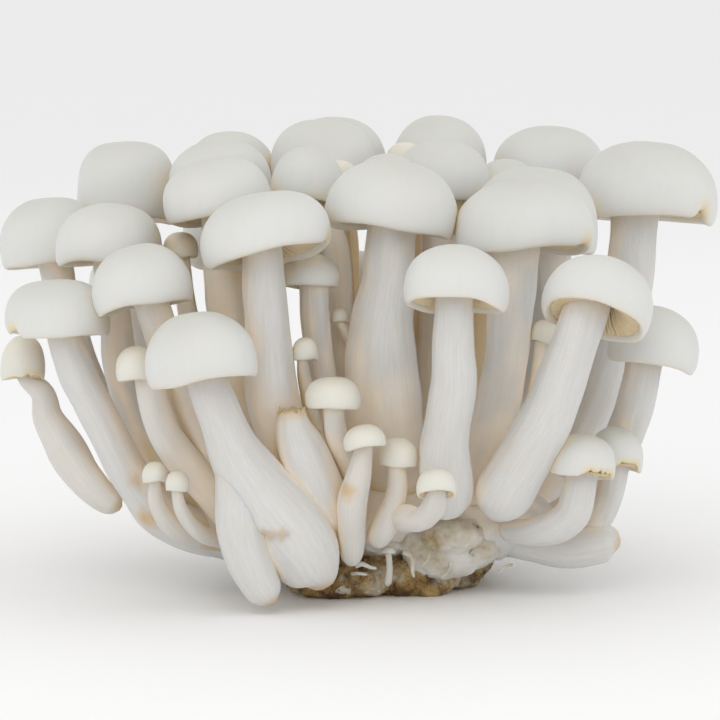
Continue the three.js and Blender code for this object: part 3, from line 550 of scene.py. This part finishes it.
class Warp:
    """How one cap strays from a true dome, and where it sits."""

    def __init__(self, row, seed):
        _, centre, width, rise, lean, _ = row
        self.radius, self.rise, self.seed = width / 2, rise, seed
        self.phase = [math.sin(seed * k * 78.233) * math.pi for k in range(1, 6)]
        tilt = [math.tan(math.radians(degrees)) for degrees in lean]
        axis = Vector((tilt[0], tilt[1], 1)).normalized()
        turn = Vector((0, 0, 1)).rotation_difference(axis).to_matrix().to_4x4()
        self.place = Matrix.Translation(centre) @ turn

    def __call__(self, point):
        out = math.hypot(point.x, point.y)
        a = math.atan2(point.y, point.x)
        share = min(out / self.radius, 1.0)
        stretch = (1 + 0.022 * math.cos(a + self.phase[0]) + 0.028 * math.cos(2 * a + self.phase[1])
                   + 0.012 * math.cos(3 * a + self.phase[2]))
        waves = (0.035 * math.cos(2 * a + self.phase[3]) + 0.022 * math.cos(3 * a + self.phase[4])
                 + 0.010 * math.cos(5 * a + self.phase[0]))
        sag = self.rise * share ** 2 * waves
        moved = Vector((point.x * stretch, point.y * stretch, point.z + sag))
        bump = noise.noise(moved * 0.16 + Vector((self.seed * 7.7, 0, 0)))
        grown = moved * (1 + 0.022 * bump)
        return self.place @ grown


class GrowthTree:
    """A Geometry Nodes tree with named inputs, which ends in plain geometry of one material."""

    def __init__(self, name, **inputs):
        self.tree = bpy.data.node_groups.new(name, "GeometryNodeTree")
        self.tree.interface.new_socket("Geometry", in_out="OUTPUT", socket_type="NodeSocketGeometry")
        for label, kind in inputs.items():
            self.tree.interface.new_socket(label.replace("_", " "), in_out="INPUT",
                                           socket_type="NodeSocket" + kind)
        self.given = self.tree.nodes.new("NodeGroupInput").outputs

    def put(self, kind, settings=None, *values, out=0, **named):
        made = self.tree.nodes.new(kind)
        for key, value in (settings or {}).items():
            setattr(made, key, value)
        sockets = list(zip(made.inputs, values))
        sockets += [(made.inputs[key.replace("_", " ")], value) for key, value in named.items()]
        for socket, value in sockets:
            if isinstance(value, bpy.types.NodeSocket):
                self.tree.links.new(value, socket)
            elif value is not None:
                socket.default_value = value
        return made.outputs[out]

    def maths(self, operation, *values):
        return self.put("ShaderNodeMath", {"operation": operation}, *values)

    def finish(self, geometry, flesh_socket):
        real = self.put("GeometryNodeRealizeInstances", None, geometry)
        dressed = self.put("GeometryNodeSetMaterial", None, real, None, flesh_socket)
        result = self.tree.nodes.new("NodeGroupOutput")
        self.tree.links.new(dressed, result.inputs[0])
        return self.tree


def lamella_tree():
    """Thin blades standing round a stem, every second one short."""
    grow = GrowthTree("gill_blades", Count="Int", Stem_Radius="Float", Rim_Radius="Float", Rise="Float",
                      Thickness="Float", Seed="Int", Flesh="Material")
    put, maths, given = grow.put, grow.maths, grow.given
    join = put("GeometryNodeJoinGeometry").node
    for inner_share, drop, offset in ((0.0, 1.0, 0.0), (0.45, 0.72, 0.5)):
        blade = put("GeometryNodeMeshCube", None, (1, 1, 1), 9, 2, 2)
        spot = put("ShaderNodeSeparateXYZ", None, put("GeometryNodeInputPosition")).node.outputs
        along = maths("ADD", spot[0], 0.5)
        up = maths("ADD", spot[2], 0.5)
        room = maths("SUBTRACT", given["Rim Radius"], given["Stem Radius"])
        start = maths("MULTIPLY_ADD", room, inner_share, given["Stem Radius"])
        reach = maths("MULTIPLY_ADD", maths("SUBTRACT", given["Rim Radius"], start), along, start)
        share = maths("DIVIDE", reach, given["Rim Radius"])
        roof = maths("MULTIPLY_ADD", maths("MULTIPLY", share, share), -0.30, 0.42)
        belly = maths("SINE", maths("MULTIPLY", along, math.pi))
        depth = maths("MULTIPLY_ADD", belly, 0.15 * drop, 0.03)
        low = maths("SUBTRACT", roof, depth)
        level = maths("MULTIPLY_ADD", maths("SUBTRACT", roof, low), up, low)
        height = maths("MULTIPLY", level, given["Rise"])
        thin = maths("MULTIPLY_ADD", up, 0.6, 0.4)
        wave = maths("MULTIPLY", maths("SINE", maths("MULTIPLY", along, 5.0)), 0.10)
        across = maths("MULTIPLY", spot[1], given["Thickness"])
        side = maths("ADD", maths("MULTIPLY", across, thin), wave)
        moved = put("GeometryNodeSetPosition", None, blade, None,
                    put("ShaderNodeCombineXYZ", None, reach, side, height))
        ring = put("GeometryNodeMeshCircle", None, given["Count"], 0.001)
        place = maths("ADD", put("GeometryNodeInputIndex"), offset)
        turn = maths("MULTIPLY", maths("DIVIDE", place, given["Count"]), 2 * math.pi)
        stray = put("FunctionNodeRandomValue", {"data_type": "FLOAT"}, None, None, -0.02, 0.02, out=1,
                    Seed=given["Seed"])
        spin = put("ShaderNodeCombineXYZ", None, 0.0, 0.0, maths("ADD", turn, stray))
        placed = put("GeometryNodeInstanceOnPoints", None, ring, None, moved, Rotation=spin)
        grow.tree.links.new(placed, join.inputs[0])
    return grow.finish(join.outputs[0], given["Flesh"])


def grown(tree, start, **inputs):
    """The plain mesh that a Geometry Nodes tree makes on a starting mesh."""
    holder = bpy.data.objects.new("holder", start)
    bpy.context.scene.collection.objects.link(holder)
    modifier = holder.modifiers.new("grow", "NODES")
    modifier.node_group = tree
    ids = {item.name: item.identifier for item in tree.interface.items_tree if item.in_out == "INPUT"}
    for name, value in inputs.items():
        modifier[ids[name.replace("_", " ")]] = value
    bpy.context.view_layer.update()
    graph = bpy.context.evaluated_depsgraph_get()
    mesh = bpy.data.meshes.new_from_object(holder.evaluated_get(graph), depsgraph=graph)
    holder.modifiers.clear()
    bpy.data.objects.remove(holder)
    return mesh


BLADES = lamella_tree()


def mushroom(row, seed):
    name, _, width, rise, lean, line = row
    big = width >= BIG_CAP
    warp = Warp(row, seed)
    radius = width / 2
    skin = Skin()

    sides = 72 if big else 40
    section = cap_section(CROWNS.get(name, PLAIN_CROWN), 0.40)
    rings, grain, edge, cut = [], [], [], []
    tear_at, tear_half, tear_high = TEARS.get(name, (0, 1, 0))
    for k, (out, up) in enumerate(section):
        share = min(k / 20, 1.0)
        for s in range(sides):
            a = 2 * math.pi * s / sides
            off = abs((math.degrees(a) - tear_at + 180) % 360 - 180) / tear_half
            torn = max(0.0, 1 - off) if tear_high and share > 0.72 else 0.0
            ragged = 0.7 + 0.5 * noise.noise(Vector((a * 14, seed, 0)))
            lift = min(torn * 2.2, 1.0) * ragged * tear_high * max(0.0, 1 - up * 2.5)
            flat = Vector((out * radius * math.cos(a), out * radius * math.sin(a), up * rise + lift))
            cut.append(min(1.0, torn * 3) * (share - 0.72) / 0.28 if torn else 0.0)
            grain.append(Vector((math.cos(a) * 5 + seed, math.sin(a) * 5, share * 12)))
            edge.append(share)
            rings.append(warp(flat))
    rings = [rings[i:i + sides] for i in range(0, len(rings), sides)]
    skin.rings(rings, 0, grain, edge, cut)

    blades = grown(BLADES, bpy.data.meshes.new("seat"), Count=(46 if big else 26),
                   Stem_Radius=line[0][3] * 0.42, Rim_Radius=radius * 0.86, Rise=rise,
                   Thickness=(0.30 if big else 0.16), Seed=seed, Flesh=GILL)
    skin.add([warp(v.co) for v in blades.vertices], [list(f.vertices) for f in blades.polygons], 1)
    bpy.data.meshes.remove(blades)

    top = warp.place @ Vector((0, 0, rise * 0.45))
    centre = Vector(line[0])
    root = [*(centre.xyz + (top - Vector(row[1]))), centre[3] * 1.12]
    path = smooth_line([root, *line], 0.9 if big else 0.7)
    around = 44 if big else 24
    rings, grain, edge = stem_rings(path, seed, around)
    cut = [min(1.0, scar(point)) for ring in rings for point in ring]
    if name in OPEN_FEET:
        cut = [max(old, 1 - share / 0.045) for old, share in zip(cut, edge)]
    if name == "front_1":
        nick(rings, cut, around)
    skin.rings(rings, 2, grain, edge, cut)

    piece = skin.piece(name + "_grown", [CAP if big else YOUNG_CAP, GILL, STEM if big else YOUNG_STEM])
    settle(piece, name)


GROWN = []


def settle(piece, node):
    GROWN.append(piece)
    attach(piece, "root")
    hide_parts(node)


def bare_stem(node, line, seed, torn_top):
    skin = Skin()
    rings, grain, edge = stem_rings(smooth_line(line, 0.7), seed, 44)
    cut = [max(0.0, 1 - share / 0.06) for share in edge]
    if torn_top:
        cut = [max(0.0, (share - 0.93) / 0.07) for share in edge]
        for s, point in enumerate(rings[-1]):
            lift = 1.6 * noise.noise(Vector((math.cos(s * 0.28) * 2, math.sin(s * 0.28) * 2, 4.0)))
            point.z += lift
        centre = sum(rings[-1], Vector()) / len(rings[-1])
        for inward, drop in ((0.8, 0.5), (0.5, 1.6)):
            rings.append([centre.lerp(p, inward) - Vector((0, 0, drop)) for p in rings[-1]])
            grain += grain[-44:]
            edge += edge[-44:]
            cut += [1.0] * 44
    skin.rings(rings, 0, grain, edge, cut)
    settle(skin.piece(node + "_grown", [STEM]), node)


def lumps(name, balls, voxel, rough, fine, seed):
    """Swellings melted into one, with a rough surface."""
    mesh = bpy.data.meshes.new(name)
    shape = bmesh.new()
    for centre, radii in balls:
        made = bmesh.ops.create_icosphere(shape, subdivisions=4, radius=1.0)
        for vertex in made["verts"]:
            vertex.co = Vector([c + v * r for c, v, r in zip(centre, vertex.co, radii)]) * MM
    shape.to_mesh(mesh)
    shape.free()
    holder = bpy.data.objects.new(name, mesh)
    bpy.context.scene.collection.objects.link(holder)
    remesh = holder.modifiers.new("melt", "REMESH")
    remesh.mode, remesh.voxel_size = "VOXEL", voxel * MM
    relax = holder.modifiers.new("relax", "SMOOTH")
    relax.iterations, relax.factor = 8, 0.6
    graph = bpy.context.evaluated_depsgraph_get()
    mesh = bpy.data.meshes.new_from_object(holder.evaluated_get(graph), depsgraph=graph)
    bpy.data.objects.remove(holder)
    for vertex in mesh.vertices:
        spot = vertex.co / MM
        coarse = noise.fractal(spot * 0.13 + Vector((seed, 0, 0)), 0.9, 2.1, 4)
        grit = noise.fractal(spot * 0.9 + Vector((0, seed, 0)), 0.9, 2.1, 3)
        moved = spot + Vector(vertex.normal) * (coarse * rough + grit * fine)
        moved.z = max(moved.z, 0.0)
        vertex.co = moved * MM
    mesh.polygons.foreach_set("use_smooth", [True] * len(mesh.polygons))
    for label, kind in (("grain", "FLOAT_VECTOR"), ("edge", "FLOAT"), ("cut", "FLOAT")):
        mesh.attributes.new(label, kind, "POINT")
    mesh.attributes["grain"].data.foreach_set("vector", [c / MM for v in mesh.vertices for c in v.co])
    mesh.attributes["edge"].data.foreach_set("value", [0.3] * len(mesh.vertices))
    made = bpy.data.objects.new(name, mesh)
    bpy.context.scene.collection.objects.link(made)
    return made


CRUMBS_FROM = 0.0011  # metres over the cut face, which stays bare


def crumb_tree():
    """Crumbs of the block's fibre stuck all over its sides."""
    grow = GrowthTree("crumbs", Geometry="Geometry", Density="Float", Size="Float", Seed="Int",
                      Fibre="Material")
    put, given = grow.put, grow.given
    spot = put("ShaderNodeSeparateXYZ", None, put("GeometryNodeInputPosition")).node.outputs
    above = grow.maths("GREATER_THAN", spot[2], CRUMBS_FROM)
    points = put("GeometryNodeDistributePointsOnFaces", None, Mesh=given["Geometry"], Selection=above,
                 Density=given["Density"], Seed=given["Seed"])
    crumb = put("GeometryNodeMeshIcoSphere", None, Radius=given["Size"], Subdivisions=1)
    scale = put("FunctionNodeRandomValue", {"data_type": "FLOAT_VECTOR"}, (0.4, 0.3, 0.3), (1.8, 0.9, 0.8))
    spin = put("FunctionNodeRandomValue", {"data_type": "FLOAT_VECTOR"}, (0, 0, 0), (6.28, 6.28, 6.28),
               Seed=given["Seed"])
    placed = put("GeometryNodeInstanceOnPoints", None, Points=points, Instance=crumb, Rotation=spin,
                 Scale=scale)
    return grow.finish(placed, given["Fibre"])


def block():
    balls = [[(3, -1, 3.5), (20, 18, 6)], [(-4, -15, 3), (10, 7, 4)], [(8, -13, 3), (9, 6, 4.5)],
             [(15, -4, 4.5), (8, 8, 4.5)], [(3, 10, 3), (14, 9, 4)]]
    made = lumps("block_remnant", balls, 0.55, 1.5, 0.55, 3.0)
    made.data.materials.append(BLOCK)
    settle(made, "growing_block")
    crumbs = grown(crumb_tree(), made.data.copy(), Density=1.0e6, Size=0.00045, Seed=5, Fibre=BLOCK)
    bits = bpy.data.objects.new("block_crumbs", crumbs)
    bpy.context.scene.collection.objects.link(bits)
    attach(bits, "root")

    balls = [[(13.5, -16, 7.6), (7.5, 4.5, 4.6)], [(19.5, -13.5, 9), (5, 5.5, 4.6)],
             [(9.5, -17.5, 9.5), (4, 3.5, 3)], [(15, -19.5, 11.5), (5.5, 4, 3)],
             [(2.5, -18.5, 9.5), (3.5, 2.5, 2)], [(-4.5, -19.5, 1.8), (3, 1.8, 1.4)]]
    fluff = lumps("mould_patches", balls, 0.45, 0.9, 0.22, 9.0)
    fluff.data.materials.append(MOULD)
    GROWN.append(fluff)
    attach(fluff, "root")


THREADS = [[(6.6, -23.6, 8.9, 0.8), (8.1, -24.2, 8.0, 0.8), (8.2, -24.0, 5.6, 0.6), (8.5, -23.6, 4.4, 0.5)],
           [(-1.8, -23.8, 6.6, 1.2), (-0.6, -24.2, 6.9, 0.9), (0.8, -24.0, 6.3, 0.7), (1.9, -23.2, 6.0, 0.6)],
           [(-2.4, -23.2, 5.0, 0.7), (-1.4, -24.0, 5.2, 0.6), (0.3, -23.4, 4.9, 0.5)],
           [(9.8, -22.6, 6.4, 0.6), (10.9, -22.9, 7.6, 0.6), (11.4, -22.6, 9.0, 0.8)],
           [(13.2, -20.6, 3.8, 0.5), (14.6, -20.9, 5.2, 0.5), (15.0, -20.7, 6.9, 0.7)],
           [(23.5, -14.5, 3.6, 0.5), (24.6, -15.1, 4.9, 0.5), (26.1, -15.2, 5.4, 0.7)]]


def threads():
    """Fine white threads and failed pins over the front of the block."""
    skin = Skin()
    for seed, line in enumerate(THREADS, 90):
        rings, grain, edge = stem_rings(smooth_line([Vector(p) for p in line], 0.3), seed, 10)
        skin.rings(rings, 0, grain, edge)
    made = skin.piece("threads", [MOULD])
    GROWN.append(made)
    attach(made, "root")


def bases():
    made = lumps("bases_grown", BASE_LUMPS, 0.8, 1.0, 0.12, 6.0)
    made.data.materials.append(STEM)
    settle(made, "fused_bases")


# ---------------------------------------------------------------- recesses, the mask for painted shade

REACH = 24 * MM  # how near other flesh has to be to count
SIGHT_LINES = 22


def smoothed(values, mesh):
    """The values with each one drawn towards its neighbours' along the mesh's edges."""
    ends = np.empty(len(mesh.edges) * 2, dtype=np.int64)
    mesh.edges.foreach_get("vertices", ends)
    first, second = ends[0::2], ends[1::2]
    values = np.array(values)
    count = np.bincount(ends, minlength=len(values)).clip(1)
    for _ in range(5):
        total = np.bincount(first, values[second], len(values))
        total += np.bincount(second, values[first], len(values))
        values = 0.4 * values + 0.6 * total / count
    return values


def mark_painted_shade_recesses(pieces):
    """Store at each vertex how much of what it faces is other flesh of the cluster: the mask of the painted
    shade and glow in recesses.
    """
    points, faces = [], []
    for piece in pieces:
        start = len(points)
        points += [vertex.co.copy() for vertex in piece.data.vertices]
        no_gills = len(piece.data.materials) == 1
        solid = [face for face in piece.data.polygons if no_gills or face.material_index != 1]
        faces += [[start + i for i in face.vertices] for face in solid]
    nearby = BVHTree.FromPolygons(points, faces)
    lines = []
    for k in range(SIGHT_LINES):
        up = 1 - 2 * (k + 0.5) / SIGHT_LINES
        turn = k * math.pi * (3 - math.sqrt(5))
        flat = math.sqrt(1 - up * up)
        lines.append(Vector((flat * math.cos(turn), flat * math.sin(turn), up)))
    for piece in pieces:
        values = []
        for vertex in piece.data.vertices:
            normal = vertex.normal
            start = vertex.co + normal * 0.4 * MM
            seen = blocked = 0.0
            for line in lines:
                facing = line.dot(normal)
                if facing > 0.12:
                    seen += facing
                    if nearby.ray_cast(start, line, REACH)[0] is not None:
                        blocked += facing
            values.append(blocked / max(seen, 0.01))
        layer = piece.data.attributes.new("recess", "FLOAT", "POINT")
        layer.data.foreach_set("value", smoothed(values, piece.data))


# ---------------------------------------------------------------- stage

CAMERA_AWAY = 0.700
CAMERA_RISE = math.radians(6)
AIM = Vector((-0.001, 0, 0.0402))
LENS = 194.4


def stage():
    camera = bpy.data.objects.new("camera", bpy.data.cameras.new("camera"))
    camera.data.lens = LENS
    camera.data.clip_start, camera.data.clip_end = 0.01, 20
    camera.location = AIM + CAMERA_AWAY * Vector((0, -math.cos(CAMERA_RISE), math.sin(CAMERA_RISE)))
    camera.rotation_euler = (math.pi / 2 - CAMERA_RISE, 0, 0)
    bpy.context.scene.collection.objects.link(camera)
    bpy.context.scene.camera = camera

    mesh = bpy.data.meshes.new("floor_card")
    mesh.from_pydata([(-40, -40, 0), (40, -40, 0), (40, 40, 0), (-40, 40, 0)], [], [(0, 1, 2, 3)])
    mesh.materials.append(plain_floor())
    floor = bpy.data.objects.new("floor_card", mesh)
    bpy.context.scene.collection.objects.link(floor)

    lights = (("front_soft", (-0.25, -0.75, 0.55), 0.75, 1.7, (1.0, 0.985, 0.96)),
              ("right_soft", (0.8, -0.2, 0.35), 0.6, 0.5, (0.96, 0.97, 1.0)),
              ("top_back_soft", (0.0, 0.5, 0.8), 0.7, 0.4, (1.0, 1.0, 1.0)))
    for name, place, size, power, colour in lights:
        light = bpy.data.lights.new(name, "AREA")
        light.size, light.energy, light.color = size, power, colour
        lamp = bpy.data.objects.new(name, light)
        lamp.location = place
        lamp.rotation_euler = (Vector(place) - AIM).to_track_quat("Z", "Y").to_euler()
        bpy.context.scene.collection.objects.link(lamp)
    world = bpy.data.worlds.new("studio")
    world.use_nodes = True
    world.node_tree.nodes["Background"].inputs["Color"].default_value = (1, 1, 1, 1)
    world.node_tree.nodes["Background"].inputs["Strength"].default_value = 0.86
    bpy.context.scene.world = world
    bpy.context.scene.view_settings.view_transform = "Standard"


stage()
for order, grown_row in enumerate(MUSHROOMS):
    mushroom(grown_row, order + 1)
bare_stem("broken_stem", BROKEN_STEM, 71, True)
bare_stem("split_foot", SPLIT_FOOT, 73, False)
bare_stem("side_foot", SIDE_FOOT, 72, False)
bases()
block()
threads()
mark_painted_shade_recesses(GROWN)
